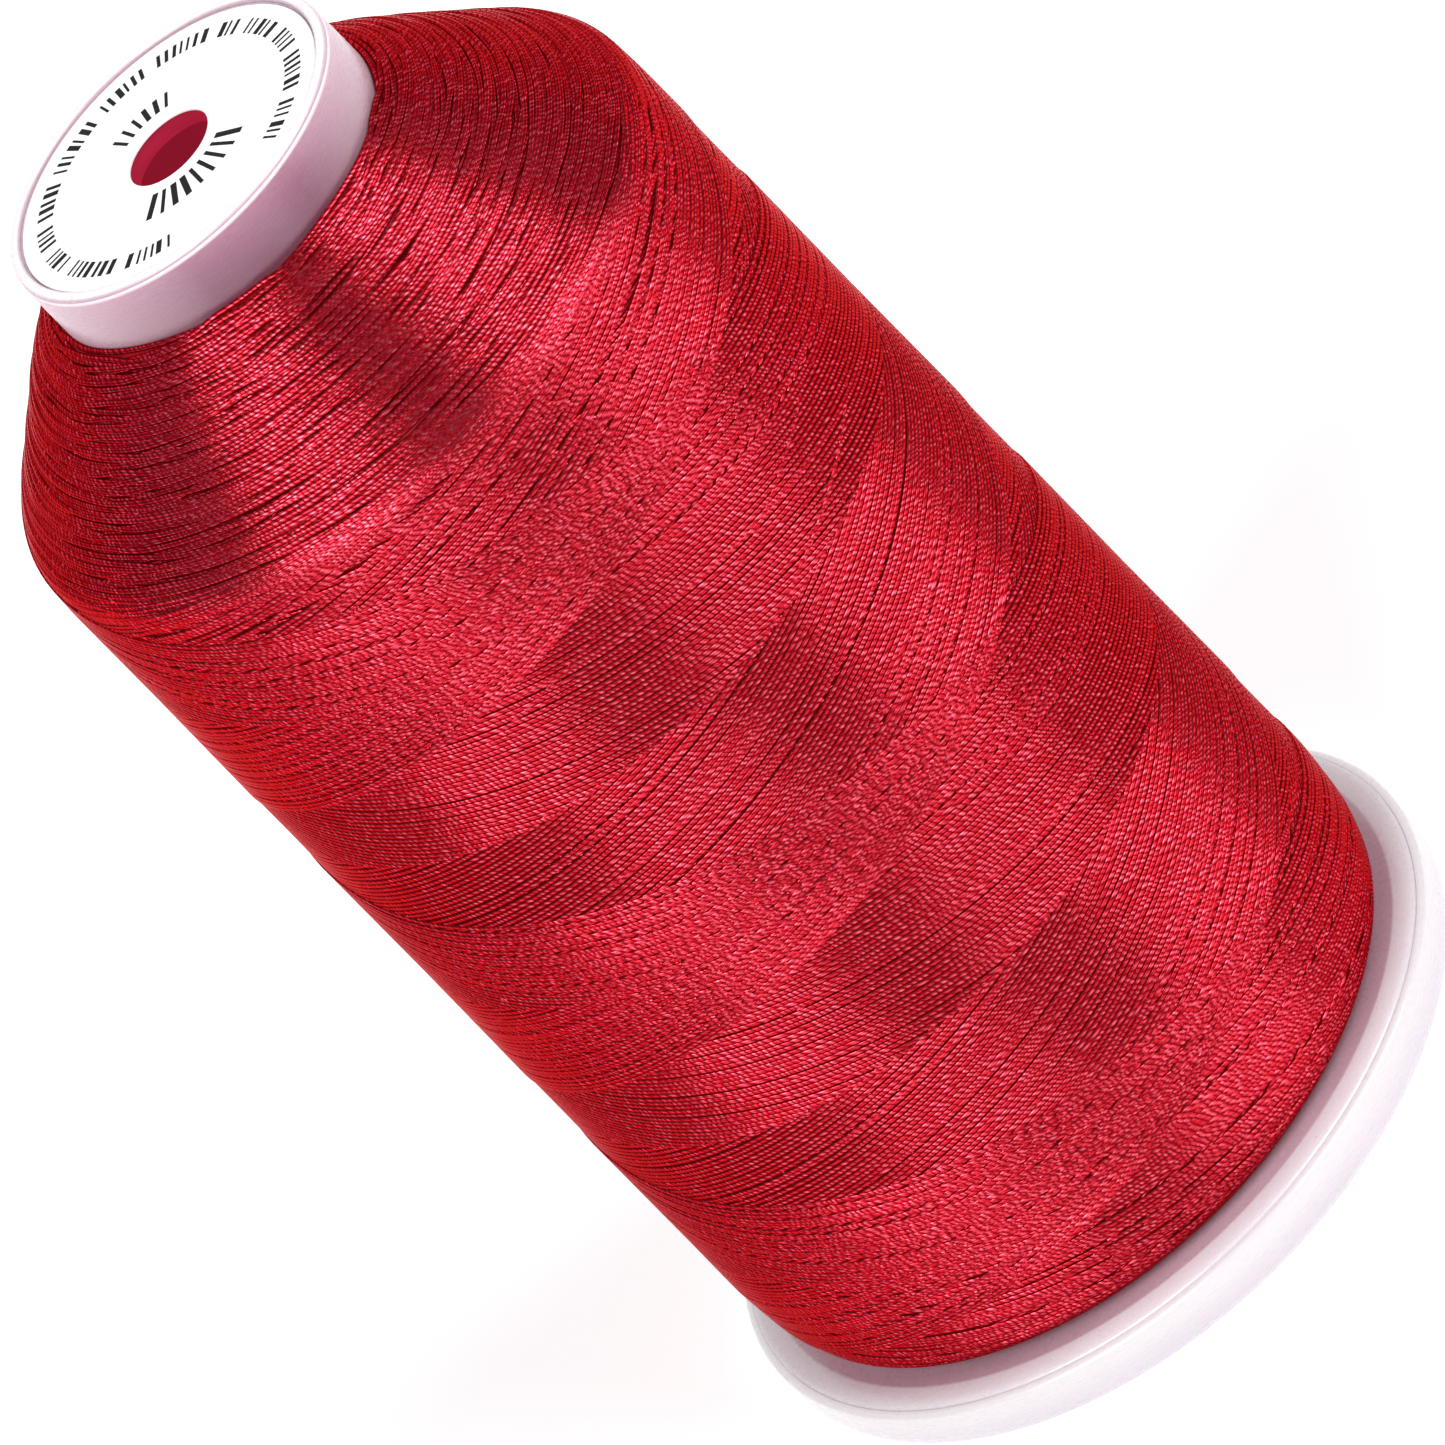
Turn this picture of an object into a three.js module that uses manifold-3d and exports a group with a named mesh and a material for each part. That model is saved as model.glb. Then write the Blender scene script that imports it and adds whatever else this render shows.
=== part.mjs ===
// Large spool of embroidery thread: a moulded core, a snap base, the wound thread and a top label.
// Millimetres, +Z up. The origin is the centre of the foot ring, on the surface the spool stands on.
import * as THREE from "three";
import { mergeVertices } from "three/addons/utils/BufferGeometryUtils.js";
import Module from "manifold-3d";

// Driving dimensions
const HEIGHT = 120;            // foot to collar rim
const SEGMENTS = 72;           // facets round every turned piece
const WALL = 1.4;              // moulded wall thickness
const RUNNING_GAP = 0.3;       // between the core and the snap base, which slides in it
const WINDING_GAP = 0.2;       // between the core and the wound thread
const PIN_HOLE = 3.9;          // radius of the hole for the machine's spool pin
const CHAMFER = 0.3;
const OVERLAP = 0.5;           // how far a joined or cutting shape runs into its neighbour

// Snap base, and the foot it stands on
const FOOT_OUTER = 32.0;
const FOOT_INNER = 29.4;
const LIP_RADIUS = 33.25;      // widest radius of the whole spool
const LIP_SWELL = 2.05;        // height at which the lip reaches that radius
const LIP_CREST = 4.35;
const LIP_ROUND = 0.5;         // the lip's rounded top edge
const BASE_UNDERSIDE = 1.6;
const BASE_FLOOR = BASE_UNDERSIDE + WALL;
const BASE_HOLE = 4.5;
const BOSS_RADIUS = 6.5;
const BOSS_BOTTOM = 0.5;
const RIB_COUNT = 8;
const RIB_WIDTH = 1.2;
const RIB_BOTTOM = 0.6;

// Bottom flange of the core, nested in the lip of the base
const FLANGE_BOTTOM = BASE_FLOOR + RUNNING_GAP;
const FLANGE_TOP = 4.75;
const FLANGE_RADIUS = 32.35;
const FLANGE_EDGE_TOP = 4.4;
const FLANGE_FLAT_RADIUS = 30.3;
const LIP_INNER = FLANGE_RADIUS + RUNNING_GAP;

// Barrel: a tube with moulding draft, wider at the bottom
const BARREL_BOTTOM = 15.9;
const BARREL_TOP = 15.0;
const BORE_DRAFT = 0.1;
const BORE_BOTTOM = BARREL_BOTTOM - WALL - BORE_DRAFT;
const BORE_TOP = BARREL_TOP - WALL;

// Catch: a bead on the base's fingers rides in a groove of the bore, which limits its travel
const TRAVEL = 2.5;
const GROOVE_RADIUS = 14.9;
const GROOVE_LOW = 8.6;
const GROOVE_HIGH = 14.1;
const SLEEVE_OUTER = BORE_BOTTOM - RUNNING_GAP;
const SLEEVE_WALL = 1.2;
const SLEEVE_INNER = SLEEVE_OUTER - SLEEVE_WALL;
const SLEEVE_TOP = 13.3;
const BEAD_GAP = 0.25;
const BEAD_CLEARANCE = 0.4;    // left under the bead when the base is all the way down
const BEAD_RADIUS = GROOVE_RADIUS - BEAD_GAP;
const BEAD_BOTTOM = GROOVE_LOW + TRAVEL + BEAD_CLEARANCE;
const BEAD_TOP = 12.9;
const FINGER_COUNT = 4;
const FINGER_SLOT = 2.5;
const SLOT_BOTTOM = 5.5;

// Collar: the bare top end of the barrel, with a recess for the label
const COLLAR_SHOULDER = 119.3;
const RIM_OUTER = 14.6;
const RIM_INNER = 14.3;
const RECESS_RADIUS = 14.05;
const RECESS_DEPTH = 0.65;
const WEB_TOP = HEIGHT - RECESS_DEPTH;
const WEB_BOTTOM = WEB_TOP - WALL;
const WEB_FILLET = 1;

// Label
const LABEL_OUTER = 13.88;
const LABEL_INNER = 3.72;
const GLUE = 0.07;
const LABEL_DEPTH = 0.4;       // of the label's face below the rim
const LABEL_BOTTOM = WEB_TOP + GLUE;
const LABEL_TOP = HEIGHT - LABEL_DEPTH;

// Wound thread: a nearly straight package, rounded at the foot and domed at the shoulder
const THREAD_FOOT = FLANGE_TOP + WINDING_GAP;
const FOOT_CURVE = [
  [28.6, THREAD_FOOT],
  [29.9, THREAD_FOOT + 1.05],
  [30.55, THREAD_FOOT + 3.5],
  [30.9, 13],
];
const SHOULDER = [[29.72, 97], [29.55, 100.2], [28.7, 101.6], [20.0, 110.95], [16.6, 113.85]];
const THREAD_TOP = 114.6;
const THREAD_TOP_RADIUS = 15.4;

const wasm = await Module();
wasm.setup();

// Turns a closed outline of [radius, height] points round the Z axis.
function turned(outline) {
  const points = outline.map(([radius, height]) => new THREE.Vector2(radius, height));
  if (THREE.ShapeUtils.area(points) < 0) points.reverse();
  points.push(points[0].clone());
  const geometry = new THREE.LatheGeometry(points, SEGMENTS);
  return geometry.rotateX(Math.PI / 2);
}

// Points of a quarter ellipse about (radius, height), from one angle to another in degrees.
function bend(radius, height, across, up, from, to, steps) {
  return Array.from({ length: steps + 1 }, (_, i) => {
    const angle = THREE.MathUtils.degToRad(from + ((to - from) * i) / steps);
    return [radius + across * Math.cos(angle), height + up * Math.sin(angle)];
  });
}

function toSolid(geometry) {
  const bare = geometry.index ? geometry.toNonIndexed() : geometry.clone();
  bare.deleteAttribute("normal");
  bare.deleteAttribute("uv");
  const merged = mergeVertices(bare, 1e-3);
  return new wasm.Manifold(new wasm.Mesh({
    numProp: 3,
    vertProperties: merged.attributes.position.array,
    triVerts: new Uint32Array(merged.index.array),
  }));
}

function toGeometry(solid) {
  const mesh = solid.getMesh();
  const geometry = new THREE.BufferGeometry();
  geometry.setAttribute("position", new THREE.BufferAttribute(mesh.vertProperties, 3));
  geometry.setIndex(new THREE.BufferAttribute(mesh.triVerts, 1));
  geometry.computeVertexNormals();
  return geometry;
}

// A box from one radius to another, turned to an angle about the Z axis.
function radialBox(inner, outer, width, bottom, top, angle) {
  const box = new THREE.BoxGeometry(outer - inner, width, top - bottom);
  box.translate((inner + outer) / 2, 0, (bottom + top) / 2);
  return box.rotateZ(angle);
}

// Barrel, bottom flange and collar in one moulding, open at the bottom and closed at the top
// by a web that holds the pin hole.
function coreGeometry() {
  return turned([
    [PIN_HOLE, WEB_BOTTOM],
    [PIN_HOLE, WEB_TOP],
    [RECESS_RADIUS, WEB_TOP],
    [RECESS_RADIUS, HEIGHT - CHAMFER],
    [RIM_INNER, HEIGHT],
    [RIM_OUTER, HEIGHT],
    ...bend(RIM_OUTER, COLLAR_SHOULDER, BARREL_TOP - RIM_OUTER, HEIGHT - COLLAR_SHOULDER, 60, 0, 2),
    [BARREL_BOTTOM, FLANGE_TOP + CHAMFER],
    [BARREL_BOTTOM + CHAMFER, FLANGE_TOP],
    ...bend(FLANGE_FLAT_RADIUS, FLANGE_EDGE_TOP, FLANGE_RADIUS - FLANGE_FLAT_RADIUS,
      FLANGE_TOP - FLANGE_EDGE_TOP, 90, 0, 3),
    [FLANGE_RADIUS, FLANGE_BOTTOM + CHAMFER],
    [FLANGE_RADIUS - CHAMFER, FLANGE_BOTTOM],
    [BORE_BOTTOM + CHAMFER, FLANGE_BOTTOM],
    [BORE_BOTTOM, FLANGE_BOTTOM + CHAMFER],
    [BORE_BOTTOM, GROOVE_LOW],
    [GROOVE_RADIUS, GROOVE_LOW + CHAMFER],
    [GROOVE_RADIUS, GROOVE_HIGH - 2 * CHAMFER],
    [BORE_BOTTOM, GROOVE_HIGH],
    [BORE_TOP, WEB_BOTTOM - WEB_FILLET],
    [BORE_TOP - WEB_FILLET, WEB_BOTTOM],
  ]);
}

// Shallow cup with a rounded lip, a foot ring, ribs beneath, and a sprung sleeve that
// reaches up inside the barrel.
function snapBaseGeometry() {
  let base = toSolid(turned([
    [BASE_HOLE, BOSS_BOTTOM],
    [BOSS_RADIUS, BOSS_BOTTOM],
    [BOSS_RADIUS, BASE_UNDERSIDE],
    [FOOT_INNER, BASE_UNDERSIDE],
    [FOOT_INNER, 0],
    [FOOT_OUTER, 0],
    ...bend(FOOT_OUTER, LIP_SWELL, LIP_RADIUS - FOOT_OUTER, LIP_SWELL, -67.5, 0, 3),
    [LIP_RADIUS, LIP_CREST - LIP_ROUND],
    [LIP_RADIUS - 0.3 * LIP_ROUND, LIP_CREST - 0.3 * LIP_ROUND],
    [LIP_INNER + 0.4 * LIP_ROUND, LIP_CREST],
    [LIP_INNER, LIP_CREST - 0.2 * LIP_ROUND],
    [LIP_INNER, BASE_FLOOR],
    [SLEEVE_OUTER, BASE_FLOOR],
    [SLEEVE_OUTER, BEAD_BOTTOM],
    [BEAD_RADIUS, BEAD_BOTTOM + CHAMFER],
    [BEAD_RADIUS, BEAD_TOP - CHAMFER],
    [SLEEVE_OUTER, SLEEVE_TOP],
    [SLEEVE_INNER, SLEEVE_TOP],
    [SLEEVE_INNER, BASE_FLOOR],
    [BASE_HOLE, BASE_FLOOR],
  ]));
  for (let i = 0; i < RIB_COUNT; i++) {
    const angle = ((i + 0.5) * 2 * Math.PI) / RIB_COUNT;
    const rib = radialBox(BOSS_RADIUS - OVERLAP, FOOT_INNER + OVERLAP, RIB_WIDTH, RIB_BOTTOM,
      BASE_UNDERSIDE + OVERLAP, angle);
    base = base.add(toSolid(rib));
  }
  for (let i = 0; i < FINGER_COUNT; i++) {
    const angle = (i * 2 * Math.PI) / FINGER_COUNT;
    const slot = radialBox(SLEEVE_INNER - OVERLAP, BEAD_RADIUS + OVERLAP, FINGER_SLOT,
      SLOT_BOTTOM, SLEEVE_TOP + OVERLAP, angle);
    base = base.subtract(toSolid(slot));
  }
  return toGeometry(base);
}

function threadGeometry() {
  return turned([
    [BARREL_BOTTOM + WINDING_GAP + CHAMFER, THREAD_FOOT],
    ...FOOT_CURVE,
    ...SHOULDER,
    [THREAD_TOP_RADIUS, THREAD_TOP],
    [BARREL_TOP + WINDING_GAP, THREAD_TOP - CHAMFER],
    [BARREL_BOTTOM + WINDING_GAP, THREAD_FOOT + CHAMFER],
  ]);
}

function labelGeometry() {
  return turned([
    [LABEL_INNER, LABEL_BOTTOM],
    [LABEL_OUTER, LABEL_BOTTOM],
    [LABEL_OUTER, LABEL_TOP],
    [LABEL_INNER, LABEL_TOP],
  ]);
}

function piece(name, geometry, color, roughness) {
  const material = new THREE.MeshStandardMaterial({ color, roughness, metalness: 0 });
  const mesh = new THREE.Mesh(geometry, material);
  mesh.name = name;
  return mesh;
}

const spool = new THREE.Group();
spool.add(
  piece("spool_core", coreGeometry(), 0xece4ea, 0.4),
  piece("snap_base", snapBaseGeometry(), 0xf1ecf2, 0.4),
  piece("thread_package", threadGeometry(), 0xc01530, 0.45),
  piece("top_label", labelGeometry(), 0xf8f8fa, 0.6),
);
export default spool;
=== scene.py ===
"""A large spool of embroidery thread: every strand of the outer winding is laid as geometry, over a
bed of deeper winding, on a core, snap base and label turned to the CAD model's sizes."""

import math

import bmesh
import bpy
import numpy as np
from mathutils import Matrix, Vector


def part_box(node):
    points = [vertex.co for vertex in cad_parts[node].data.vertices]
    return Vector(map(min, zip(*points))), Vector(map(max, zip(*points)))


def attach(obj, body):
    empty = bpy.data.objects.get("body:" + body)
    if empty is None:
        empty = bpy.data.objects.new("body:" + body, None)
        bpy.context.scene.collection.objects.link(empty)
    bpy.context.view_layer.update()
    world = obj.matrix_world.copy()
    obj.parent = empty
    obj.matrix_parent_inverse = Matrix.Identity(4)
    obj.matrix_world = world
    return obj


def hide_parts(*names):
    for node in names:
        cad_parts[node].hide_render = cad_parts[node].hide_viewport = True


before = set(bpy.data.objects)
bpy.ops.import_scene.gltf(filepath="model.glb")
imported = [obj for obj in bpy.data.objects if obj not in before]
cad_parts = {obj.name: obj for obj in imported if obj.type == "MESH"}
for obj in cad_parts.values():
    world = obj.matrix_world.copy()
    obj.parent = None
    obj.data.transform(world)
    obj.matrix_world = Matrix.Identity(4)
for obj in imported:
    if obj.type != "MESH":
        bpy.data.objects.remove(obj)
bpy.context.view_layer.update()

MM = 0.001
TAU = 2 * math.pi
GOLDEN = (math.sqrt(5) - 1) / 2
SEED = 7

# The frame's sizes, in metres
core_low, core_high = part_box("spool_core")
_, base_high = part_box("snap_base")
thread_low, thread_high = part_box("thread_package")
label_low, label_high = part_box("top_label")
HEIGHT = core_high.z
LIP_RADIUS = base_high.x
FLANGE_RADIUS = core_high.x
THREAD_FOOT = thread_low.z
THREAD_TOP = thread_high.z
THREAD_RADIUS = thread_high.x
LABEL_RADIUS = label_high.x
LABEL_TOP = label_high.z

# Camera
CAMERA_AT = Vector((-0.00049, -0.8933, 0.5833))
CAMERA_PITCH = math.radians(30.82)
CAMERA_ROLL = math.radians(44.4)
CAMERA_LENS = 336.3
CAMERA_SENSOR = 36.0

# Light
ROOM_LIGHT = 0.11                 # on the spool
WALL_LIGHT = 1.05                 # seen past the floor's edge
FLOOR_SIZE = 24.0

# Strand
STRAND_WIDTH = 0.49 * MM          # across the strand, along the surface
STRAND_HEIGHT = 0.34 * MM
STRAND_SIDES = 6
PLY_PITCH = 1.16 * MM             # one full twist of the two plies
KEEP_EVERY = 4                    # steps in one straight piece of strand
COVERED = 0.2 * MM                # a strand this far under the others doesn't show
SPREAD = 3                        # samples kept past each end of a stretch that shows
PIECE_SAMPLES = 12000             # about the most samples of strand in one piece
PIECE_SPARE = 4                   # samples that a piece may go over, or a cut stretch may lose
SHORTEST_PART = 8                 # samples in the shortest part of a cut stretch
SHEET_CELLS = 110                 # samples in one row of the map for colours
SHEET_GUTTER = 0.06               # the share of a row left clear at each edge

# Winding
ROUND = 74                        # double passes, foot to shoulder and back, until the strands meet
TURNS_PER_PASS = 6 + 1 / ROUND    # so each double pass lies one strand beside the last
PASSES = 92
FIRST_TURN = 0.13                 # where on the circle the first pass starts
LOWEST_TURN = 0.45 * MM           # the passes turn this far over the foot
HIGHEST_TURN = 13.6 * MM          # and this far under the top
TURN_SHARPNESS = 0.99             # 1 turns a pass in a point, and less in a curve
TURN_JITTER = 0.3 * MM
PASS_JITTER = 0.10 * MM
STRAND_JITTER = 0.045 * MM
STRAND_JITTER_TURNS = 0.3         # how often it changes
EDGE = 0.15 * MM                  # the nearest to the foot that a strand comes
PRESSED = 0.002 * MM              # how far each pass presses down the ones before it
SLACK = 0.3 * MM                  # how far a strand may sink under its proper height
BED_DEPTH = 0.60 * MM             # the deeper winding's surface
DEEPEST = 0.66 * MM               # where the lowest strands rest

# Older loops on the shoulder
LOOPS = 340
LOOPS_START = 14.2 * MM           # the lowest loop's turning point, under the top
LOOP_REACH = (0.2, 0.3)           # half a loop's length, in turns
LOOP_DROP = (1.9, 3.4)            # how much lower a loop's ends lie than its middle, in millimetres
LOOP_JITTER = 0.2 * MM
LOOP_LEAN = 0.3 * MM
LOOP_DEPTH = 0.62 * MM            # how far its ends go in under the layer outside it
LOOP_DEPTH_JITTER = 0.15          # how much deeper a whole loop may lie, in millimetres
LOOP_SLACK = 0.08 * MM

# The height map that strands are laid on
COLUMNS = 720                     # steps in a turn
CELL = 0.04 * MM                  # its fineness up the surface
MARGIN = 20                       # spare cells at each end
HALF_STRAND = 5                   # cells each side of a strand's middle
MOST_SLIP = 5                     # cells that a strand may slip sideways
SLIP_EFFORT = 0.9 / MM            # how hard it resists that
MOST_SAG = 0.07 * MM              # how far it may sink into what it spans
HELD_STEPS = 30                   # steps at its ends where it can't slip freely
SLIP_BLUR = 6                     # steps that its slip is smoothed over
REST_BLUR = 4                     # and the height of what it rests on
LAST_BLUR = 2                     # and its own place and height


# ---------------------------------------------------------------- materials

class Shader:
    """A material's node tree, built from short calls."""

    def __init__(self, name):
        self.material = bpy.data.materials.new(name)
        self.material.use_nodes = True
        self.tree = self.material.node_tree
        self.tree.nodes.clear()
        self.output = self.node("ShaderNodeOutputMaterial")
        self.surface = self.node("ShaderNodeBsdfPrincipled")
        self.link(self.surface.outputs["BSDF"], self.output.inputs["Surface"])

    def node(self, kind, **settings):
        made = self.tree.nodes.new(kind)
        for key, value in settings.items():
            setattr(made, key, value)
        return made

    def link(self, source, target):
        self.tree.links.new(source, target)

    def feed(self, target, value):
        if isinstance(value, bpy.types.NodeSocket):
            self.link(value, target)
        else:
            target.default_value = value

    def set(self, **values):
        for name, value in values.items():
            self.feed(self.surface.inputs[name.replace("_", " ")], value)

    def glow(self, colour, strength):
        """A faint light of its own, in place of light that soaks through thread and milky plastic."""
        self.surface.inputs["Emission Color"].default_value = (*colour, 1)
        self.surface.inputs["Emission Strength"].default_value = strength

    def math(self, operation, a, b=0.0):
        made = self.node("ShaderNodeMath", operation=operation)
        self.feed(made.inputs[0], a)
        self.feed(made.inputs[1], b)
        return made.outputs[0]

    def place(self, scale=(1, 1, 1)):
        """Object coordinates, stretched by a scale."""
        where = self.node("ShaderNodeTexCoord").outputs["Object"]
        mapping = self.node("ShaderNodeMapping")
        mapping.inputs["Scale"].default_value = scale
        self.link(where, mapping.inputs["Vector"])
        return mapping.outputs[0]

    def height_and_radius(self):
        """How far up the object a point is, and how far from its axis."""
        where = self.node("ShaderNodeTexCoord").outputs["Object"]
        parts = self.node("ShaderNodeSeparateXYZ")
        self.link(where, parts.inputs[0])
        flat = self.node("ShaderNodeVectorMath", operation="LENGTH")
        self.link(self.place((1, 1, 0)), flat.inputs[0])
        return parts.outputs["Z"], flat.outputs["Value"]

    def noise(self, vector, scale, detail=2.0, roughness=0.5):
        made = self.node("ShaderNodeTexNoise")
        self.feed(made.inputs["Vector"], vector)
        made.inputs["Scale"].default_value = scale
        made.inputs["Detail"].default_value = detail
        made.inputs["Roughness"].default_value = roughness
        return made.outputs["Fac"]

    def ramp(self, value, stops):
        made = self.node("ShaderNodeValToRGB")
        self.feed(made.inputs[0], value)
        elements = made.color_ramp.elements
        while len(elements) < len(stops):
            elements.new(0.5)
        for element, (position, colour) in zip(elements, stops):
            element.position = position
            element.color = (*colour, 1)
        return made.outputs["Color"]

    def span(self, value, low, high, to_low=0.0, to_high=1.0):
        made = self.node("ShaderNodeMapRange")
        for socket, number in zip(made.inputs, (value, low, high, to_low, to_high)):
            self.feed(socket, number)
        return made.outputs[0]

    def mix(self, share, a, b):
        made = self.node("ShaderNodeMix", data_type="RGBA")
        self.feed(made.inputs["Factor"], share)
        for name, value in (("A", a), ("B", b)):
            socket = next(s for s in made.inputs if s.name == name and s.type == "RGBA")
            self.feed(socket, (*value, 1) if isinstance(value, tuple) else value)
        return next(s for s in made.outputs if s.type == "RGBA")

    def bump(self, height, distance, strength=1.0, below=None):
        made = self.node("ShaderNodeBump")
        made.inputs["Strength"].default_value = strength
        made.inputs["Distance"].default_value = distance
        self.feed(made.inputs["Height"], height)
        if below is not None:
            self.link(below, made.inputs["Normal"])
        return made.outputs["Normal"]


# Thread colours, with two to vary between where there is a pair. The first pair is painted shade, for the
# dark between plies and at each strand's sides; the glint red is a painted glint and the glow red a
# painted glow
SHADED_REDS = (0.09, 0.0005, 0.002), (0.14, 0.001, 0.004)
BRIGHT_REDS = (0.44, 0.013, 0.026), (0.54, 0.018, 0.034)
BED_REDS = (0.26, 0.002, 0.008), (0.42, 0.006, 0.02)
GLINT_RED = (0.86, 0.13, 0.19)
EDGE_TINT = (0.75, 0.06, 0.09, 1)
GLOW_RED = (1.0, 0.01, 0.03)


def twist_of(s, along, around):
    """How far round its plies a point is, in turns. The twist varies a little along the strand."""
    drift_per_mm, drift_turns = 0.05, 1.6
    drift = s.node("ShaderNodeTexNoise", noise_dimensions="1D")
    drift.inputs["Detail"].default_value = 0.0
    s.link(s.math("MULTIPLY", along, drift_per_mm), drift.inputs["W"])
    turned = s.math("DIVIDE", along, PLY_PITCH / MM)
    turned = s.math("ADD", turned, s.math("MULTIPLY", drift.outputs["Fac"], drift_turns))
    return s.math("ADD", around, turned)


def ply_noise(s, along, twist, per_mm, per_turn, detail, roughness):
    """Noise that follows the plies, of so many cells per millimetre along them and per turn across."""
    place = s.node("ShaderNodeCombineXYZ")
    s.link(s.math("MULTIPLY", along, per_mm), place.inputs["X"])
    s.link(s.math("MULTIPLY", twist, per_turn), place.inputs["Y"])
    return s.noise(place.outputs[0], 1.0, detail, roughness)


def thread_material():
    """Bright two-ply polyester. The strand's own map runs along it in millimetres and once round it.
    Light comes off the crown of each ply, where painted glints also sit; painted shade makes the thread
    dark between plies and at each strand's sides, and a faint painted glow lifts it."""
    s = Shader("crimson_thread")
    uv = s.node("ShaderNodeUVMap", uv_map="strand")
    parts = s.node("ShaderNodeSeparateXYZ")
    s.link(uv.outputs["UV"], parts.inputs[0])
    along, around = parts.outputs["X"], parts.outputs["Y"]
    twist = twist_of(s, along, around)
    lobes = s.math("ABSOLUTE", s.math("COSINE", s.math("MULTIPLY", twist, TAU)))
    plump = s.math("POWER", lobes, 0.7)
    fibres = ply_noise(s, along, twist, 0.9, 26.0, 2.0, 0.6)
    spots = ply_noise(s, along, twist, 0.5, 2.3, 1.0, 0.5)
    upward = s.math("ABSOLUTE", s.math("SINE", s.math("MULTIPLY", around, TAU)))
    crown = s.span(upward, 0.2, 0.8, 0.3, 1.0)

    patches = s.noise(s.place(), 70.0, 3.0, 0.55)
    # Painted shade: a darker copy of the thread's red, used between plies and at each strand's sides,
    # away from its crown
    shaded = s.mix(patches, *SHADED_REDS)
    bright = s.mix(patches, *BRIGHT_REDS)
    body = s.mix(s.math("MULTIPLY", crown, s.span(plump, 0.15, 0.85, 0.1, 1.0)), shaded, bright)
    # Painted glints: pale spots in the colour on the crowns of the plies
    ridge = s.math("MULTIPLY", crown, s.span(plump, 0.7, 1.0))
    glint = s.math("MULTIPLY", ridge, s.span(spots, 0.42, 0.72))
    s.set(Base_Color=s.mix(glint, body, GLINT_RED))

    ply_roughness = s.span(plump, 0.2, 0.9, 0.45, 0.17)
    fibre_roughness = s.span(fibres, 0.2, 0.8, -0.06, 0.08)
    s.set(Roughness=s.math("ADD", ply_roughness, fibre_roughness))
    s.set(Specular_IOR_Level=0.1, Metallic=0.92)
    s.surface.inputs["Specular Tint"].default_value = EDGE_TINT
    # Painted glow, faint, that lifts the thread's shade
    s.glow(GLOW_RED, 0.025)
    relief = s.bump(plump, 0.013 * MM)
    s.set(Normal=s.bump(fibres, 0.0012 * MM, 0.6, relief))
    return s.material


def bed_material():
    """The deeper winding, seen only between strands: plain rings of thread."""
    s = Shader("deep_thread")
    wave = s.node("ShaderNodeTexWave", wave_type="BANDS", bands_direction="Z")
    wave.inputs["Scale"].default_value = 380.0
    wave.inputs["Distortion"].default_value = 1.5
    s.link(s.place(), wave.inputs["Vector"])
    rings = wave.outputs["Fac"]
    s.set(Base_Color=s.mix(rings, *BED_REDS))
    s.set(Roughness=s.span(rings, 0, 1, 0.7, 0.55), Specular_IOR_Level=0.3)
    # Painted glow that lifts the shade between the strands, where the bed shows
    s.glow(GLOW_RED, 0.09)
    s.set(Normal=s.bump(rings, 0.15 * MM))
    return s.material


def plastic(s, colour):
    """Milky moulded polypropylene with fine scuffs and a few specks, in a colour."""
    place = s.place()
    cloud = s.noise(place, 90.0, 4.0, 0.55)
    specks = s.span(s.noise(place, 2600.0, 1.0, 0.3), 0.74, 0.8, 0.0, 0.25)
    cloudy = s.mix(s.span(cloud, 0.3, 0.7, 0.0, 0.12), colour, (0.5, 0.42, 0.5))
    s.set(Base_Color=s.mix(specks, cloudy, (0.3, 0.24, 0.28)))
    scuffs = s.noise(s.place((1, 1, 9)), 900.0, 3.0, 0.65)
    s.set(Roughness=s.span(scuffs, 0.3, 0.75, 0.2, 0.4))
    s.set(Specular_IOR_Level=0.7, Subsurface_Weight=0.5, Subsurface_Scale=0.7 * MM)
    s.surface.inputs["Subsurface Radius"].default_value = (1.0, 0.75, 0.9)
    s.set(Normal=s.bump(s.noise(place, 260.0, 3.0, 0.5), 0.04 * MM, 0.5))
    return s.material


# The collar's mauve up from the thread to its rim, with painted shade and red reflection from the thread
# that darken it towards the thread; and across the rim, from the label outwards, the rim's pale tone with
# painted shade lines at both its edges
COLLAR_MAUVE_AND_SHADE = [
    (0.0, (0.13, 0.02, 0.045)), (0.25, (0.16, 0.034, 0.08)), (0.6, (0.22, 0.068, 0.13)),
    (0.86, (0.31, 0.12, 0.19)), (0.90, (0.80, 0.70, 0.75))]
COLLAR_LIT_SIDES = (0.80, 0.62, 0.70)  # painted light: paler left and right of the printing, towards the side lights
RIM_PALE_AND_SHADE = [
    (0.0, (0.30, 0.17, 0.22)), (0.2, (0.80, 0.72, 0.76)), (0.72, (0.84, 0.76, 0.80)),
    (0.9, (0.42, 0.27, 0.34))]
RIM_INSIDE = 14.0 * MM
RIM_OUTSIDE = 15.1 * MM
RIM_DEPTH = 0.45 * MM
FLANGE_EDGE = 30.4 * MM           # inside this, the flange's band beside the thread has painted shade and red reflection from the thread; outside it is paler


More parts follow.
